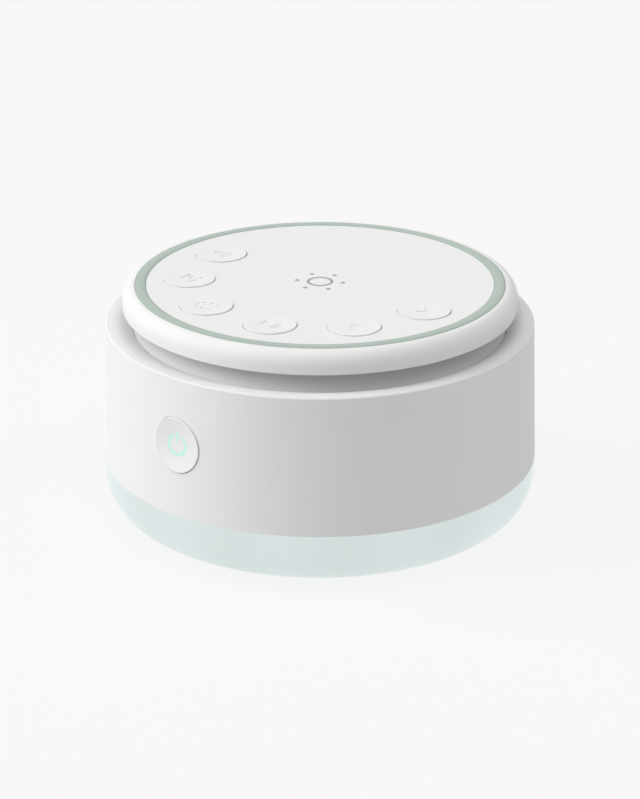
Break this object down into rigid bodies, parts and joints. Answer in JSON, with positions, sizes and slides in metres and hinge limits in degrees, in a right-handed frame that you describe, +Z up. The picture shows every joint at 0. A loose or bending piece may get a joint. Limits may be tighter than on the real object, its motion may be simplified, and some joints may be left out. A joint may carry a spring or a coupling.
{
  "type": "white noise sound machine",
  "caption": "Round tabletop sound machine: white drum with a mint light band, floating top disc with dished press keys, and a power button in its wall.",
  "frame": {"origin": "on the surface it stands on, under the middle of the drum", "axes": "+Z up along the drum's middle axis; -Y is the front with the power button; +Y is the back with the USB-C inlet and the sound slots"},
  "size_m": [0.11, 0.11, 0.0622],
  "materials": {
    "housing_white": "fine matt moulded white",
    "panel_white": "fine matt moulded white, printed",
    "key_white": "fine matt moulded white",
    "button_white": "fine matt moulded white",
    "base_white": "matt moulded white",
    "diffuser_mint": "frosted translucent pale mint",
    "ring_sage": "satin sage",
    "guide_teal": "clear light guide, glows teal",
    "foot_rubber": "soft matt grey",
    "screw_steel": "zinc plated",
    "inlet_steel": "drawn shell",
    "board_green": "solder mask",
    "chip_black": "moulded epoxy",
    "connector_black": "moulded nylon",
    "connector_cream": "moulded nylon",
    "switch_black": "moulded",
    "led_white": "phosphor in a white case",
    "tray_white": "matt white",
    "can_aluminium": "sleeved can",
    "basket_steel": "black paint",
    "magnet_iron": "ferrite and plated iron",
    "coil_copper": "copper",
    "contact_spring": "gold plated",
    "cone_paper": "pressed black paper",
    "surround_rubber": "soft rubber",
    "foam_grey": "closed foam",
    "mesh_grey": "woven acoustic mesh",
    "cable_white": "flat flexible cable",
    "wire_red": "wire sleeve"
  },
  "bodies": {
    "machine": {"base_plate": "base_white", "rubber_feet": "foot_rubber", "base_screws": "screw_steel", "light_diffuser": "diffuser_mint", "light_board": "board_green", "light_leds": "led_white", "light_board_screws": "screw_steel", "light_header": "connector_black", "light_tray": "tray_white", "tray_screws": "screw_steel", "main_board": "board_green", "main_board_screws": "screw_steel", "board_chips": "chip_black", "board_capacitors": "can_aluminium", "board_connectors": "connector_cream", "usb_inlet": "inlet_steel", "main_housing": "housing_white", "power_board": "board_green", "power_board_screws": "screw_steel", "power_switch": "switch_black", "power_leds": "led_white", "power_connector": "connector_cream", "power_leads": "wire_red", "speaker_baffle": "tray_white", "speaker_gasket": "foam_grey", "speaker_basket": "basket_steel", "speaker_magnet": "magnet_iron", "speaker_coil": "coil_copper", "speaker_cone": "cone_paper", "speaker_surround": "surround_rubber", "speaker_dust_cap": "cone_paper", "speaker_terminals": "connector_black", "speaker_leads": "wire_red", "speaker_screws": "screw_steel", "neck_screws": "screw_steel", "upper_shell": "housing_white", "dust_mesh": "mesh_grey", "accent_ring": "ring_sage", "control_panel": "panel_white", "touch_electrode": "coil_copper", "touch_contact": "contact_spring", "key_board": "board_green", "key_board_screws": "screw_steel", "key_switches": "switch_black", "key_connector": "connector_cream", "key_cable": "cable_white"},
    "volume_key": {"volume_key": "key_white"},
    "timer_key": {"timer_key": "key_white"},
    "sound_key": {"sound_key": "key_white"},
    "play_key": {"play_key": "key_white"},
    "back_key": {"back_key": "key_white"},
    "next_key": {"next_key": "key_white"},
    "power_button": {"power_button": "button_white", "power_light_guide": "guide_teal"}
  },
  "joints": [
    {"name": "volume_key_press", "type": "slide", "parent": "machine", "child": "volume_key", "axis": [0, 0, -1], "range_m": [0, 0.0005], "stiffness_N_per_m": 2400},
    {"name": "timer_key_press", "type": "slide", "parent": "machine", "child": "timer_key", "axis": [0, 0, -1], "range_m": [0, 0.0005], "stiffness_N_per_m": 2400},
    {"name": "sound_key_press", "type": "slide", "parent": "machine", "child": "sound_key", "axis": [0, 0, -1], "range_m": [0, 0.0005], "stiffness_N_per_m": 2400},
    {"name": "play_key_press", "type": "slide", "parent": "machine", "child": "play_key", "axis": [0, 0, -1], "range_m": [0, 0.0005], "stiffness_N_per_m": 2400},
    {"name": "back_key_press", "type": "slide", "parent": "machine", "child": "back_key", "axis": [0, 0, -1], "range_m": [0, 0.0005], "stiffness_N_per_m": 2400},
    {"name": "next_key_press", "type": "slide", "parent": "machine", "child": "next_key", "axis": [0, 0, -1], "range_m": [0, 0.0005], "stiffness_N_per_m": 2400},
    {"name": "power_button_press", "type": "slide", "parent": "machine", "child": "power_button", "axis": [0, 1, 0], "range_m": [0, 0.0006], "stiffness_N_per_m": 2600}
  ]
}
